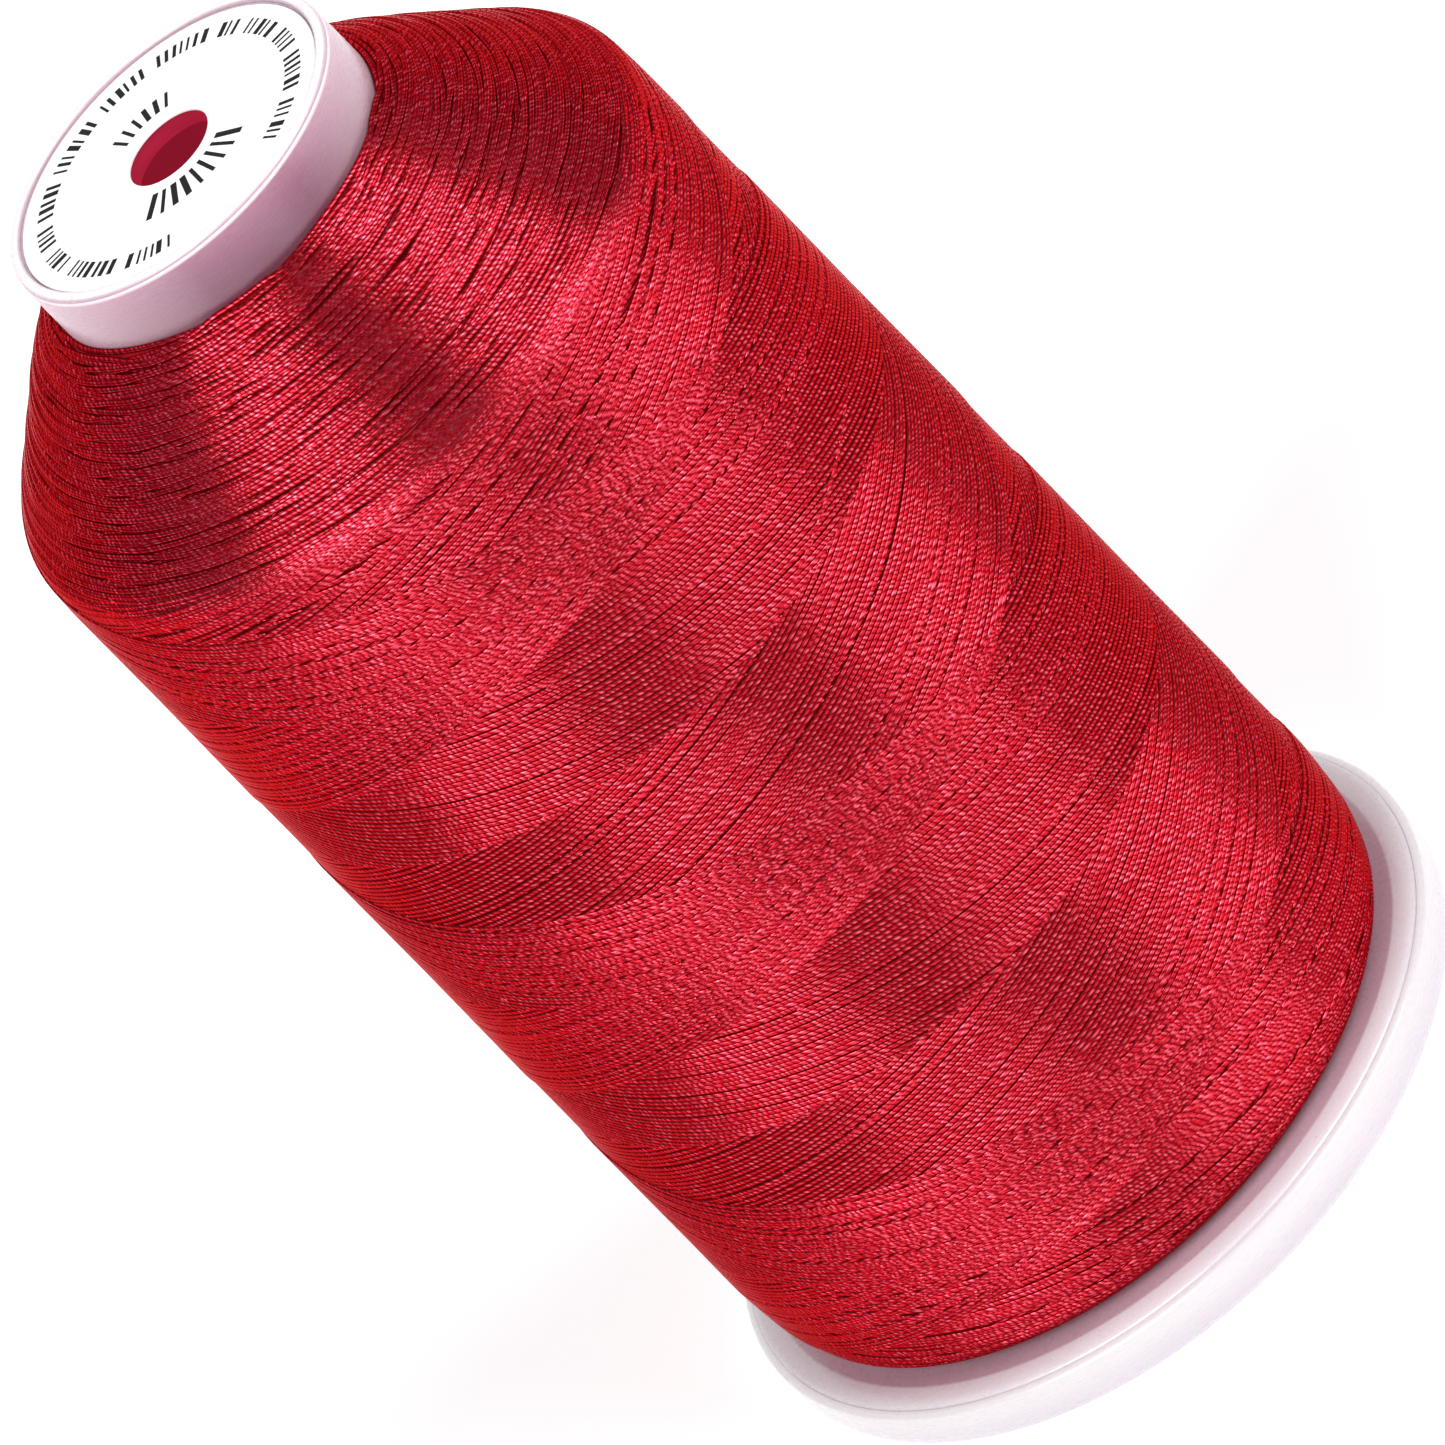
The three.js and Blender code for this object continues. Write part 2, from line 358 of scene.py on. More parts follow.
def core_material():
    """The collar's mauve has painted shade and red reflection from the thread, darkest beside the thread,
    painted light that makes it paler at its left and right sides, and painted shade lines at both edges
    of its rim. The flange has painted shade and red reflection from the thread on its band beside the
    thread, and is palest at its edge."""
    s = Shader("core_plastic")
    height, radius = s.height_and_radius()
    # Painted shade and red reflection from the thread darken the collar's mauve towards the thread
    collar = s.ramp(s.span(height, THREAD_TOP - 0.5 * MM, HEIGHT), COLLAR_MAUVE_AND_SHADE)
    across = s.node("ShaderNodeSeparateXYZ")
    s.link(s.place(), across.inputs[0])
    # Painted light: the collar is paler left and right, towards the side lights
    side_lit = s.span(s.math("ABSOLUTE", across.outputs["X"]), 5 * MM, 15 * MM, 0.0, 0.5)
    collar = s.mix(side_lit, collar, COLLAR_LIT_SIDES)
    # Painted shade lines at the rim's inner and outer edges, with its pale tone between
    rim = s.ramp(s.span(radius, RIM_INSIDE, RIM_OUTSIDE), RIM_PALE_AND_SHADE)
    collar = s.mix(s.math("GREATER_THAN", height, HEIGHT - RIM_DEPTH), collar, rim)
    # Painted shade and red reflection from the thread on the flange's band beside it, paler outside
    out_of_shade = s.span(radius, FLANGE_EDGE, FLANGE_EDGE + 0.3 * MM)
    flange = s.mix(out_of_shade, (0.38, 0.25, 0.30), (0.58, 0.55, 0.58))
    return plastic(s, s.mix(s.math("GREATER_THAN", height, HEIGHT / 2), flange, collar))


def base_material():
    """Whiter than the core, with a painted glow that makes it paler all over, and painted shade that
    makes it darker and lilac towards the bottom, where its wall turns under.
    """
    s = Shader("base_plastic")
    # Painted glow that makes the whole base paler, its shaded sides too
    s.glow((0.97, 0.95, 0.97), 0.34)
    height, _ = s.height_and_radius()
    # Painted shade: darker and lilac towards the bottom, where the wall turns under
    return plastic(s, s.mix(s.span(height, 0.2 * MM, 3.2 * MM), (0.27, 0.22, 0.28), (0.37, 0.35, 0.36)))


def barrel_material():
    """The barrel's plastic where the wound thread shows through its wall."""
    s = Shader("barrel_over_thread")
    rings = s.noise(s.place((1, 1, 6)), 400.0, 2.0, 0.5)
    s.set(Base_Color=s.mix(rings, (0.16, 0.003, 0.016), (0.22, 0.006, 0.026)))
    s.set(Roughness=s.span(rings, 0.3, 0.7, 0.35, 0.5), Specular_IOR_Level=0.5)
    # Painted glow: a red light of its own on the barrel where thread shows through it
    s.glow((0.30, 0.01, 0.032), 0.65)
    return s.material


def paper_material():
    s = Shader("label_paper")
    place = s.place()
    pulp = s.noise(place, 1400.0, 4.0, 0.6)
    s.set(Base_Color=s.mix(s.noise(place, 200.0, 2.0), (0.88, 0.87, 0.88), (0.91, 0.90, 0.91)))
    s.set(Roughness=s.span(pulp, 0.3, 0.7, 0.42, 0.6), Specular_IOR_Level=0.4)
    s.set(Normal=s.bump(pulp, 0.01 * MM, 0.5))
    return s.material


def ink_material():
    s = Shader("label_ink")
    soak = s.noise(s.place(), 1800.0, 3.0, 0.6)
    s.set(Base_Color=s.mix(soak, (0.002, 0.002, 0.003), (0.007, 0.007, 0.009)))
    s.set(Roughness=s.span(soak, 0.3, 0.7, 0.4, 0.55), Specular_IOR_Level=0.12)
    return s.material


def floor_material():
    s = Shader("pale_floor")
    grain = s.noise(s.place(), 3.0, 3.0, 0.5)
    s.set(Base_Color=s.mix(grain, (0.80, 0.80, 0.805), (0.82, 0.82, 0.825)))
    s.glow((1, 1, 1), 0.28)
    s.set(Roughness=s.span(grain, 0.3, 0.7, 0.75, 0.85), Specular_IOR_Level=0.2)
    return s.material


# ---------------------------------------------------------------- mesh helpers

TURNED_SHARP = math.radians(35)   # edges that turn more than this stay crisp
CUT_SHARP = math.radians(40)


def new_object(name, mesh, *materials):
    piece = bpy.data.objects.new(name, mesh)
    bpy.context.scene.collection.objects.link(piece)
    for material in materials:
        mesh.materials.append(material)
    mesh.shade_smooth()
    return piece


def turned_mesh(name, outline, segments=192):
    """Turns a closed outline of (radius, height) points, listed anticlockwise, round the Z axis."""
    points = np.array(outline, float)
    count = len(points)
    angles = np.arange(segments) * TAU / segments
    ring = np.stack([np.cos(angles), np.sin(angles)], 1)
    verts = np.empty((segments, count, 3))
    verts[:, :, :2] = points[None, :, :1] * ring[:, None, :]
    verts[:, :, 2] = points[None, :, 1]
    i, j = np.meshgrid(np.arange(segments), np.arange(count), indexing="ij")
    ahead, up = (i + 1) % segments, (j + 1) % count
    faces = np.stack([i * count + j, ahead * count + j, ahead * count + up, i * count + up], -1)
    mesh = bpy.data.meshes.new(name)
    mesh.from_pydata(verts.reshape(-1, 3), [], faces.reshape(-1, 4))
    mesh.update()
    mesh.set_sharp_from_angle(angle=TURNED_SHARP)
    return mesh


def arc(radius, height, across, up, start, end, steps):
    """Points of an ellipse's arc about (radius, height), between two angles in degrees."""
    turns = np.radians(np.linspace(start, end, steps + 1))
    return [(radius + across * math.cos(a), height + up * math.sin(a)) for a in turns]


def in_metres(outline):
    return [(radius * MM, height * MM) for radius, height in outline]


def box_between(name, inner, outer, width, bottom, top, angle):
    """A box that lies along a radius, turned to an angle about Z."""
    mesh = bpy.data.meshes.new(name)
    shape = bmesh.new()
    bmesh.ops.create_cube(shape, size=1.0)
    bmesh.ops.scale(shape, vec=(outer - inner, width, top - bottom), verts=shape.verts)
    bmesh.ops.translate(shape, vec=((inner + outer) / 2, 0, (bottom + top) / 2), verts=shape.verts)
    bmesh.ops.rotate(shape, matrix=Matrix.Rotation(angle, 3, "Z"), verts=shape.verts)
    shape.to_mesh(mesh)
    shape.free()
    tool = bpy.data.objects.new(name, mesh)
    bpy.context.scene.collection.objects.link(tool)
    return tool


def cut_or_join(piece, tool, operation):
    step = piece.modifiers.new("cut", "BOOLEAN")
    step.operation = operation
    step.object = tool
    step.solver = "EXACT"
    shaped = bpy.data.meshes.new_from_object(
        piece.evaluated_get(bpy.context.evaluated_depsgraph_get()))
    piece.modifiers.clear()
    piece.data = shaped
    bpy.data.objects.remove(tool)


# ---------------------------------------------------------------- camera, light and floor

def make_camera():
    data = bpy.data.cameras.new("camera")
    data.lens = CAMERA_LENS
    data.sensor_width = CAMERA_SENSOR
    data.clip_start, data.clip_end = 0.05, 50
    camera = bpy.data.objects.new("camera", data)
    bpy.context.scene.collection.objects.link(camera)
    level_right = Vector((1, 0, 0))
    level_up = Vector((0, math.sin(CAMERA_PITCH), math.cos(CAMERA_PITCH)))
    right = level_right * math.cos(CAMERA_ROLL) - level_up * math.sin(CAMERA_ROLL)
    up = level_up * math.cos(CAMERA_ROLL) + level_right * math.sin(CAMERA_ROLL)
    turn = Matrix((right, up, right.cross(up))).transposed()
    camera.matrix_world = Matrix.Translation(CAMERA_AT) @ turn.to_4x4()
    bpy.context.scene.camera = camera


def soft_light(name, azimuth, elevation, breadth, power):
    """Light from a round patch of the sky, so broad in degrees; azimuth 0 is the camera's side."""
    data = bpy.data.lights.new(name, "SUN")
    data.angle = math.radians(breadth)
    data.energy = power
    light = bpy.data.objects.new(name, data)
    bpy.context.scene.collection.objects.link(light)
    a, e = math.radians(azimuth), math.radians(elevation)
    way = Vector((math.sin(a) * math.cos(e), -math.cos(a) * math.cos(e), math.sin(e)))
    light.rotation_mode = "QUATERNION"
    light.rotation_quaternion = way.to_track_quat("Z", "Y")
    light.visible_camera = False


def make_world():
    """A dim room to light the spool, and a pale wall behind the floor to look at."""
    world = bpy.data.worlds.new("studio")
    world.use_nodes = True
    tree = world.node_tree
    room = tree.nodes["Background"]
    room.inputs["Color"].default_value = (1, 0.98, 1, 1)
    room.inputs["Strength"].default_value = ROOM_LIGHT
    wall = tree.nodes.new("ShaderNodeBackground")
    wall.inputs["Color"].default_value = (1, 1, 1, 1)
    wall.inputs["Strength"].default_value = WALL_LIGHT
    path = tree.nodes.new("ShaderNodeLightPath")
    either = tree.nodes.new("ShaderNodeMixShader")
    tree.links.new(path.outputs["Is Camera Ray"], either.inputs[0])
    tree.links.new(room.outputs[0], either.inputs[1])
    tree.links.new(wall.outputs[0], either.inputs[2])
    tree.links.new(either.outputs[0], tree.nodes["World Output"].inputs["Surface"])
    bpy.context.scene.world = world


def make_studio():
    make_world()
    soft_light("left_light", azimuth=-45, elevation=38, breadth=45, power=2.85)
    soft_light("right_light", azimuth=54, elevation=38, breadth=48, power=3.0)
    soft_light("back_light", azimuth=180, elevation=38, breadth=80, power=0.8)
    bpy.context.scene.view_settings.view_transform = "Standard"
    floor = new_object("floor", bpy.data.meshes.new("floor"), floor_material())
    half = FLOOR_SIZE / 2
    corners = [(-half, -half, 0), (half, -half, 0), (half, half, 0), (-half, half, 0)]
    floor.data.from_pydata(corners, [], [(0, 1, 2, 3)])


# ---------------------------------------------------------------- the wound thread

def smooth_outline(corners, step, soften):
    """An outline's corners as evenly spaced points, with the corners rounded off."""
    corners = np.array(corners)
    lengths = np.r_[0, np.cumsum(np.hypot(*np.diff(corners, axis=0).T))]
    even = np.arange(0, lengths[-1] + step / 2, step)
    points = np.stack([np.interp(even, lengths, corners[:, k]) for k in (0, 1)], 1)
    reach = int(3 * soften / step)
    weights = np.exp(-0.5 * (np.arange(-reach, reach + 1) * step / soften) ** 2)
    weights /= weights.sum()
    before = 2 * points[0] - points[reach:0:-1]
    after = 2 * points[-1] - points[-2:-reach - 2:-1]
    padded = np.concatenate([before, points, after])
    return np.stack([np.convolve(padded[:, k], weights, "valid") for k in (0, 1)], 1)


class Package:
    """The wound package's outer surface, as a curve from its foot to the collar."""

    def __init__(self):
        foot, wide, top = THREAD_FOOT / MM, THREAD_RADIUS / MM, THREAD_TOP / MM
        rounded_foot = [(wide - 2.3, foot), (wide - 1.0, foot + 1.05), (wide - 0.35, foot + 3.5)]
        tapered_side = [(wide, foot + 8), (wide - 1.18, top - 17.6), (wide - 1.35, top - 14.4)]
        shoulder = [(wide - 2.2, top - 13), (wide - 10.9, top - 3.65), (wide - 14.3, top - 0.75)]
        corners = in_metres([*rounded_foot, *tapered_side, *shoulder, (wide - 15.5, top)])
        points = smooth_outline(corners, 0.1 * MM, 0.5 * MM)
        slope = np.gradient(points, axis=0)
        slope /= np.hypot(*slope.T)[:, None]
        self.points = points
        self.normals = np.stack([slope[:, 1], -slope[:, 0]], 1)
        self.along = np.r_[0, np.cumsum(np.hypot(*np.diff(points, axis=0).T))]
        self.length = self.along[-1]

    def at_height(self, height):
        """How far along the curve it first reaches a height."""
        return self.along[np.argmax(self.points[:, 1] >= height)]

    def lay(self, turns, along, depth):
        """Points under the surface, and the outward directions there."""
        radius, height = (np.interp(along, self.along, self.points[:, k]) for k in (0, 1))
        out, up = (np.interp(along, self.along, self.normals[:, k]) for k in (0, 1))
        radius, height = radius - depth * out, height - depth * up
        cos, sin = np.cos(turns * TAU), np.sin(turns * TAU)
        points = np.stack([radius * cos, radius * sin, height], -1)
        return points, np.stack([out * cos, out * sin, up], -1)


def wander(random, count, spacing, size):
    """Smooth random drift: a value for each of count samples, with a knot at every spacing samples."""
    knots = random.normal(0, size, count // spacing + 4)
    at = np.arange(count) / spacing
    i = at.astype(int)
    f = at - i
    f = f * f * (3 - 2 * f)
    return knots[i] * (1 - f) + knots[i + 1] * f


def blurred(values, reach):
    """Values blurred along their first axis."""
    weights = np.exp(-0.5 * (np.arange(-3 * reach, 3 * reach + 1) / reach) ** 2)
    weights /= weights.sum()
    edges = [(3 * reach, 3 * reach)] + [(0, 0)] * (values.ndim - 1)
    padded = np.pad(values, edges, "edge")
    count = len(values)
    return sum(w * padded[k:k + count] for k, w in enumerate(weights))


class Layup:
    """A height map of the package's surface, unrolled, which each strand is laid on in turn."""

    def __init__(self, package):
        self.package = package
        self.top = np.full((COLUMNS, int(package.length / CELL) + 2 * MARGIN), -DEEPEST)
        self.offsets = np.arange(-HALF_STRAND, HALF_STRAND + 1)
        self.round = STRAND_HEIGHT / 2 * np.sqrt(1 - (self.offsets / (HALF_STRAND + 0.5)) ** 2)

    def cells(self, along):
        """The map's cells at places along the surface, clear of the map's edges."""
        clear = HALF_STRAND + MOST_SLIP + 2
        cells = np.round(along / CELL).astype(int) + MARGIN
        return np.clip(cells, clear, self.top.shape[1] - 1 - clear)

    def rest_height(self, columns, cells):
        """The lowest centre height at which a strand's round belly touches nothing."""
        return np.max([self.top[columns, cells + offset] + rise
                       for offset, rise in zip(self.offsets, self.round)], axis=0)

    def lay(self, steps, along, cap, slack):
        """Lays a strand over steps of the circle, and returns its place and height. It slips
        sideways into the nearest dip, spans small hollows, and is pressed down to its cap."""
        columns = steps % COLUMNS
        cells = self.cells(along)
        slips = np.arange(-MOST_SLIP, MOST_SLIP + 1)
        rests = np.stack([self.rest_height(columns, cells + slip) for slip in slips], 1)
        effort = blurred(rests, SLIP_BLUR) + SLIP_EFFORT * (slips * CELL) ** 2
        slip = blurred(slips[np.argmin(effort, axis=1)].astype(float), SLIP_BLUR)
        from_start = np.arange(len(steps))
        freedom = np.clip(np.minimum(from_start, from_start[::-1]) / HELD_STEPS, 0, 1)
        along = along + slip * freedom * CELL
        cells = self.cells(along)
        rest = self.rest_height(columns, cells)
        height = blurred(np.maximum(blurred(rest, REST_BLUR), rest - MOST_SAG), LAST_BLUR)
        height = np.clip(height, cap - slack, cap)
        for offset, rise in zip(self.offsets, self.round):
            place = columns, cells + offset
            self.top[place] = np.maximum(self.top[place], height + rise)
        return along, height


def wind_package(layup, random):
    """One unbroken strand, wound foot to shoulder and back, each pass laid over the ones before."""
    package = layup.package
    lower = package.at_height(THREAD_FOOT + LOWEST_TURN)
    upper = package.at_height(THREAD_TOP - HIGHEST_TURN)
    count = int(PASSES * TURNS_PER_PASS * COLUMNS)
    steps = np.arange(count)
    phase = (steps / COLUMNS / TURNS_PER_PASS) % 1.0
    swing = np.arcsin(TURN_SHARPNESS * np.sin(TAU * (phase - 0.25)))
    rise = 0.5 + swing / (2 * math.asin(TURN_SHARPNESS))
    half_pass = int(TURNS_PER_PASS / 2 * COLUMNS)
    along = lower + (upper - lower) * rise
    along += wander(random, count, half_pass, TURN_JITTER) * (2 * rise - 1) ** 4
    along += wander(random, count, half_pass, PASS_JITTER)
    along += wander(random, count, int(STRAND_JITTER_TURNS * COLUMNS), STRAND_JITTER)
    along = np.clip(along, EDGE, package.length)
    height = np.zeros(count)
    turning = np.r_[0, np.flatnonzero(np.diff(np.floor(phase * 2))) + 1, count]
    for first, last in zip(turning, turning[1:]):
        run = slice(first, last)
        passes_over_it = (count - first) / COLUMNS / TURNS_PER_PASS
        cap = -STRAND_HEIGHT / 2 - PRESSED * passes_over_it
        along[run], height[run] = layup.lay(steps[run], along[run], cap, SLACK)
    return steps, blurred(along, LAST_BLUR), blurred(height, LAST_BLUR)


def wind_shoulder(layup, random):
    """The turning loops of older layers, stepped back up the shoulder like shingles: each rises to
    its own turning point, and its two ends go under the layer outside it."""
    package, loops = layup.package, []
    lowest = package.at_height(THREAD_TOP - LOOPS_START)
    highest = package.length
    for k in range(LOOPS):
        reach = int(random.uniform(*LOOP_REACH) * COLUMNS)
        across = np.arange(-reach, reach + 1) / reach
        apex = highest + (lowest - highest) * (k + 0.5) / LOOPS + random.normal(0, LOOP_JITTER)
        drop = random.uniform(*LOOP_DROP) * MM
        lean = random.normal(0, LOOP_LEAN)
        along = np.clip(apex - drop * across ** 2 + lean * across, 0, highest)
        sink = LOOP_DEPTH * np.abs(across) ** 1.7 + random.uniform(0, LOOP_DEPTH_JITTER) * MM
        steps = int(k * GOLDEN * COLUMNS) + np.arange(2 * reach + 1)
        loops.append((steps, *layup.lay(steps, along, -STRAND_HEIGHT / 2 - sink, LOOP_SLACK)))
    return loops


def shown_stretches(shown):
    """Stretches of strand that show, each lengthened a little at both ends."""
    wide = np.convolve(shown, np.ones(2 * SPREAD + 1), "same") > 0
    edges = np.flatnonzero(np.diff(np.r_[False, wide, False].astype(int)))
    return zip(edges[::2], edges[1::2])


def visible_runs(layup, strands):
    """The (points, outward) of every stretch of strand that shows."""
    runs = []
    for strand in strands:
        steps, along, height = (values[::KEEP_EVERY] for values in strand)
        surface = layup.top[steps % COLUMNS, layup.cells(along)]
        cover = surface - height - STRAND_HEIGHT / 2
        points, outward = layup.package.lay(steps / COLUMNS + FIRST_TURN, along, -height)
        for first, last in shown_stretches(cover < COVERED):
            if last - first > SPREAD:
                runs.append((points[first:last], outward[first:last]))
    return runs


def tube_verts(points, outward, tangent):
    """Rings of points round a strand, wider along the surface than it is high."""
    side = np.cross(tangent, outward)
    side /= np.linalg.norm(side, axis=1, keepdims=True)
    up = np.cross(side, tangent)
    around = np.arange(STRAND_SIDES) * TAU / STRAND_SIDES
    return (points[:, None, :] + side[:, None, :] * (np.cos(around) * STRAND_WIDTH / 2)[:, None]
            + up[:, None, :] * (np.sin(around) * STRAND_HEIGHT / 2)[:, None])


def tube_faces(i, j, starts, ends):
    """Walls between each ring i and the next, by side j, then caps on each run's two end rings."""
    ring, next_side = i * STRAND_SIDES, (j + 1) % STRAND_SIDES
    ahead = ring + STRAND_SIDES
    walls = np.stack([ring + j, ahead + j, ahead + next_side, ring + next_side], -1)
    first = (starts * STRAND_SIDES)[:, None, None]
    last = ((ends - 1) * STRAND_SIDES)[:, None, None]
    start_caps = first + np.array([[0, 1, 2, 3], [0, 3, 4, 5]])
    end_caps = last + np.array([[3, 2, 1, 0], [5, 4, 3, 0]])
    return np.concatenate([walls.reshape(-1, 4), start_caps.reshape(-1, 4), end_caps.reshape(-1, 4)])


def add_map(mesh, name, across, up):
    """A UV map with the walls' corners at given places; the caps, which come last, stay at its origin."""
    places = np.zeros((len(mesh.loops), 2), np.float32)
    places[:across.size, 0] = across.reshape(-1)
    places[:up.size, 1] = up.reshape(-1)
    mesh.uv_layers.new(name=name).data.foreach_set("uv", places.ravel())


def winding_piece(name, runs, material):
    """A round tube along each run of (points, outward). One map follows the strand in millimetres and
    once round it, and a second gives every stretch its own place for colour maps."""
    points = np.concatenate([run[0] for run in runs])
    outward = np.concatenate([run[1] for run in runs])
    tangent = np.concatenate([np.gradient(run[0], axis=0) for run in runs])
    tangent /= np.linalg.norm(tangent, axis=1, keepdims=True)
    lengths = np.array([len(run[0]) for run in runs])
    ends = np.cumsum(lengths)
    inner = np.setdiff1d(np.arange(ends[-1]), ends - 1)
    i, j = np.meshgrid(inner, np.arange(STRAND_SIDES), indexing="ij")
    verts = tube_verts(points, outward, tangent)
    mesh = bpy.data.meshes.new(name)
    mesh.from_pydata(verts.reshape(-1, 3), [], tube_faces(i, j, ends - lengths, ends))
    mesh.update()

    gaps = np.linalg.norm(np.diff(points, axis=0), axis=1)
    gaps[ends[:-1] - 1] = 0
    travelled = np.r_[0, np.cumsum(gaps)] / MM
    turned = np.stack([j, j, j + 1, j + 1], -1) / STRAND_SIDES
    here, ahead = travelled[i], travelled[i + 1]
    add_map(mesh, "strand", np.stack([here, ahead, ahead, here], -1), turned)

    rows = math.ceil(len(points) / SHEET_CELLS)
    row, cell = (i // SHEET_CELLS)[..., None], i % SHEET_CELLS
    sheet_across = np.stack([cell, cell + 1, cell + 1, cell], -1) / SHEET_CELLS
    sheet_up = (row + SHEET_GUTTER + (1 - 2 * SHEET_GUTTER) * turned) / rows
    add_map(mesh, "OFBake", sheet_across, sheet_up)
    mesh.uv_layers.active = mesh.uv_layers["strand"]
    fit_thread(new_object(name, mesh, material))


def fit_thread(piece):
    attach(piece, "spool")
    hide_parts("thread_package")


def make_windings(runs):
    """The runs, shared out in order between pieces of about the same size."""
    material = thread_material()
    total = sum(len(points) for points, _ in runs)
    limit = total / math.ceil(total / PIECE_SAMPLES)
    number, batch, size = 1, [], 0
    for points, outward in runs:
        while len(points):
            room = max(int(limit - size) + PIECE_SPARE, SHORTEST_PART)
            batch.append((points[:room], outward[:room]))
            size += min(room, len(points))
            rest = slice(room - 1, None) if len(points) > room + PIECE_SPARE else slice(0)
            points, outward = points[rest], outward[rest]
            if size >= limit:
                winding_piece(f"winding_{number}", batch, material)
                number, batch, size = number + 1, [], 0
    if batch:
        winding_piece(f"winding_{number}", batch, material)


def make_bed(package):
    """The deeper winding, one solid between the barrel and the strands that show."""
    outer = package.points[::4] - package.normals[::4] * BED_DEPTH
    outer[0, 1] = THREAD_FOOT
    top = outer[-1, 1]
    inner = [(core_radius(top), top), (core_radius(THREAD_FOOT), THREAD_FOOT)]
    mesh = turned_mesh("winding_bed", [*outer, *inner])
    fit_thread(new_object("winding_bed", mesh, bed_material()))


def make_thread():
    random = np.random.default_rng(SEED)
    layup = Layup(Package())
    strands = wind_shoulder(layup, random)
    strands.append(wind_package(layup, random))
    make_windings(visible_runs(layup, strands))
    make_bed(layup.package)


# ---------------------------------------------------------------- core, base and label

BARREL_TOP = 15.0 * MM            # its radius there
BARREL_DRAFT = 0.9 * MM           # how much wider it is at the foot
BARREL_CLEAR = 0.15 * MM
BARREL_REACH = 16.2 * MM          # the barrel's outside lies within this radius
BORE_REACH = 14.3 * MM            # its inside, above the groove, within this
PIN_HOLE_REACH = 4.1 * MM         # and the web's hole within this
CORE_SEGMENTS = 224
LABEL_SEGMENTS = 160
RIBS = 8
FINGERS = 4


def core_radius(height):
    """Where the winding starts at a height, just outside the barrel."""
    return BARREL_TOP + BARREL_DRAFT * (1 - height / HEIGHT) + BARREL_CLEAR


def core_outline():
    """In millimetres, from the web's hole over the rim, down the barrel, and back up the bore."""
    top, flange, bottom = HEIGHT / MM, FLANGE_RADIUS / MM, core_low.z / MM
    web = top - 0.65
    label_recess = [(3.9, web - 1.4), (3.9, web - 0.1), (4.0, web), (13.9, web),
                    *arc(13.9, web + 0.15, 0.15, 0.15, -90, 0, 3), (14.05, top - 0.35)]
    rim = [*arc(14.35, top - 0.3, 0.3, 0.3, 180, 90, 4), *arc(14.5, top - 0.5, 0.5, 0.5, 90, 0, 6)[1:]]
    barrel = [(15.05, top - 5.4), (15.08, top - 10.0), (15.9, 5.1),
              *arc(16.3, 5.15, 0.4, 0.4, 180, 270, 3)]
    flange_edge = [(30.3, 4.75), (30.5, 4.73), *arc(flange - 1.5, 4.35, 1.6, 0.4, 90, 0, 8),
                   (flange + 0.1, bottom + 0.3), (flange - 0.2, bottom)]
    bore = [(14.7, bottom), (14.4, bottom + 0.3), (14.4, 8.6)]
    groove = [(14.9, 8.9), (14.9, 13.5), (14.4, 14.1)]
    under_web = [(13.62, web - 2.4), (13.4, web - 1.8), (12.6, web - 1.4)]
    return label_recess + rim + barrel + flange_edge + bore + groove + under_web


def make_core():
    mesh = turned_mesh("core_shell", in_metres(core_outline()), CORE_SEGMENTS)
    core = new_object("core_shell", mesh, core_material(), barrel_material())
    for face in mesh.polygons:
        radius, height = face.center.xy.length, face.center.z
        in_bore = radius < BORE_REACH and height < THREAD_TOP
        in_pin_hole = radius < PIN_HOLE_REACH
        under_thread = radius < BARREL_REACH and 5.2 * MM < height < THREAD_TOP - 3 * MM
        face.material_index = int(in_bore or in_pin_hole or under_thread)
    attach(core, "spool")
    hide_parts("spool_core")


def base_outline():
    """In millimetres, from the boss under the cup, round the lip and up into the fingers."""
    lip, crest = LIP_RADIUS / MM, 4.35
    inner = FLANGE_RADIUS / MM + 0.15
    underside = [(4.5, 0.6), (4.6, 0.5), (6.4, 0.5), (6.5, 0.6), (6.5, 1.6), (29.2, 1.6), (29.4, 1.4)]
    foot_ring = [(29.4, 0.2), (29.6, 0.0), (32.0, 0.0)]
    outside = [*arc(32.0, 2.05, lip - 32.0, 2.05, -80, 0, 8),
               *arc(lip - 0.5, crest - 0.5, 0.5, 0.5, 0, 90, 6)[1:]]
    inside = [(inner + 0.1, crest), (inner, crest - 0.1), (inner, 3.0)]
    sleeve = [(14.1, 3.0), (14.1, 11.5), (14.65, 11.8), (14.65, 12.6), (14.1, 13.3), (12.9, 13.3)]
    return underside + foot_ring + outside + inside + sleeve + [(12.9, 3.0), (4.6, 3.0), (4.5, 2.9)]


def make_base():
    base = new_object("base_shell", turned_mesh("base_shell", in_metres(base_outline()), CORE_SEGMENTS))
    for k in range(RIBS):
        angle = (k + 0.5) * TAU / RIBS
        rib = box_between("rib", inner=6.0 * MM, outer=29.9 * MM, width=1.2 * MM,
                          bottom=0.6 * MM, top=1.8 * MM, angle=angle)
        cut_or_join(base, rib, "UNION")
    for k in range(FINGERS):
        slot = box_between("slot", inner=11.9 * MM, outer=15.65 * MM, width=2.5 * MM,
                           bottom=5.5 * MM, top=14.3 * MM, angle=k * TAU / FINGERS)
        cut_or_join(base, slot, "DIFFERENCE")
    base.data.materials.clear()
    base.data.materials.append(base_material())
    base.data.set_sharp_from_angle(angle=CUT_SHARP)
    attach(base, "base")
    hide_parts("snap_base")


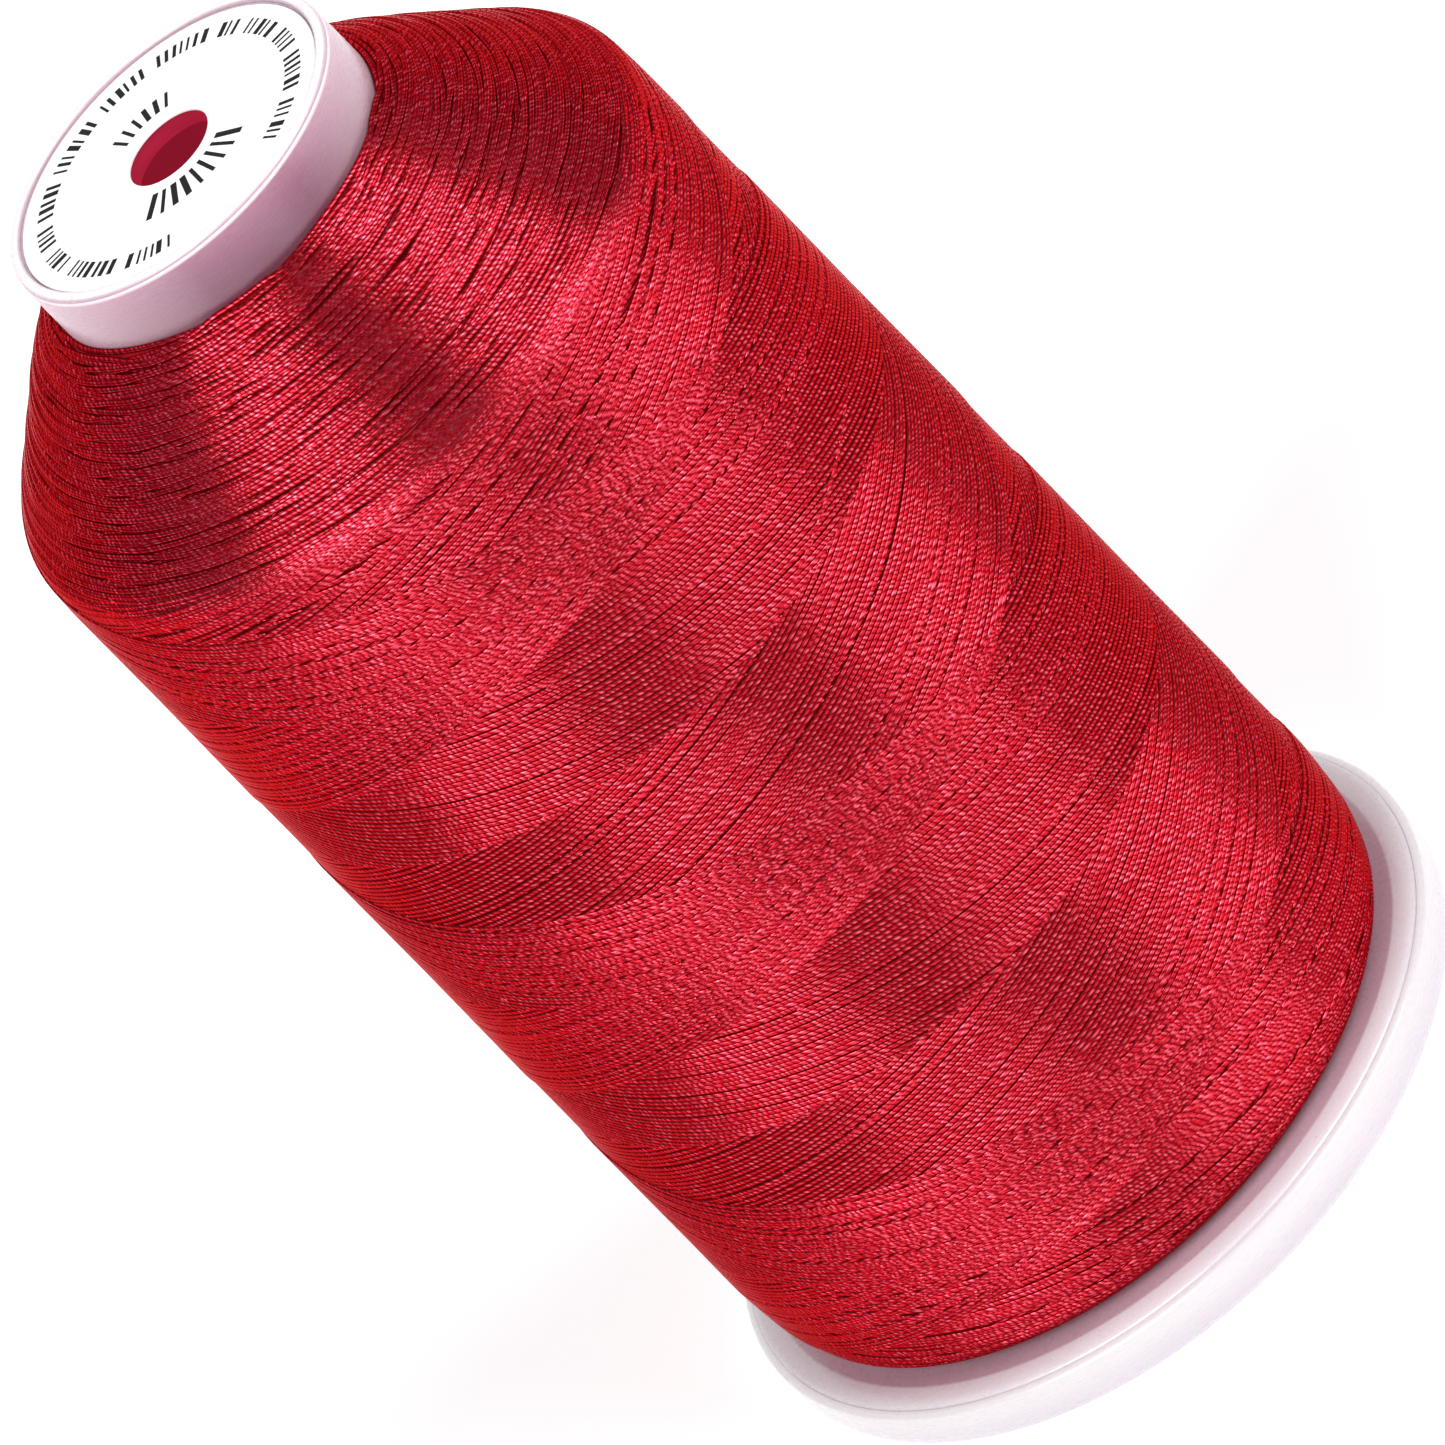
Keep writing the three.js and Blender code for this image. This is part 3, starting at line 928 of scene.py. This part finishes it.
def make_label():
    low, high = label_low.z / MM, label_high.z / MM
    outer = LABEL_RADIUS / MM
    outline = in_metres([(3.72, low), (outer, low), (outer, high - 0.03), (outer - 0.03, high),
                         (3.76, high), (3.72, high - 0.03)])
    mesh = turned_mesh("label_sheet", outline, LABEL_SEGMENTS)
    label = new_object("label_sheet", mesh, paper_material())
    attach(label, "spool")
    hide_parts("top_label")


RING_RADIUS = 11.75 * MM          # the middle of the outer ring of bars
RING_START = math.radians(-60)
RING_END = math.radians(240)
RING_SPACE = 0.42 * MM            # between two bars
RING_GAP = 0.9 / 11.75            # between two groups, in radians


def print_bar(shape, radius, angle, wide, tall):
    """A printed bar that stands along a radius of the label, as thin as ink."""
    low, high = LABEL_TOP + 0.005 * MM, LABEL_TOP + 0.02 * MM
    made = bmesh.ops.create_cube(shape, size=1.0)["verts"]
    bmesh.ops.scale(shape, vec=(tall, wide, high - low), verts=made)
    bmesh.ops.translate(shape, vec=(radius, 0, (low + high) / 2), verts=made)
    bmesh.ops.rotate(shape, matrix=Matrix.Rotation(angle, 3, "Z"), verts=made)


def print_fan(shape, random, count, middle, step, radius, widths, tall):
    """A fan of bars about the hole: its middle and step are in degrees, its sizes in millimetres."""
    for k in range(count):
        angle = math.radians(middle + (k - (count - 1) / 2) * step)
        print_bar(shape, radius * MM, angle, random.choice(widths) * MM, tall * MM)


def make_print():
    """Bars in groups, like a gauge's marks, in place of words."""
    random = np.random.default_rng(SEED + 1)
    shape = bmesh.new()
    angle = RING_START
    while angle < RING_END:
        for _ in range(random.integers(3, 8)):
            wide = random.choice([0.22, 0.34, 0.5]) * MM
            print_bar(shape, RING_RADIUS, angle, wide, 1.5 * MM)
            angle += (wide + RING_SPACE) / RING_RADIUS
        angle += RING_GAP
    print_fan(shape, random, 9, middle=270, step=9.5, radius=6.4, widths=[0.35, 0.55], tall=2.8)
    print_fan(shape, random, 6, middle=90, step=9.0, radius=6.2, widths=[0.3, 0.45], tall=1.9)
    mesh = bpy.data.meshes.new("label_print")
    shape.to_mesh(mesh)
    shape.free()
    ink = new_object("label_print", mesh, ink_material())
    mesh.shade_flat()
    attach(ink, "spool")


make_camera()
make_studio()
make_thread()
make_core()
make_base()
make_label()
make_print()
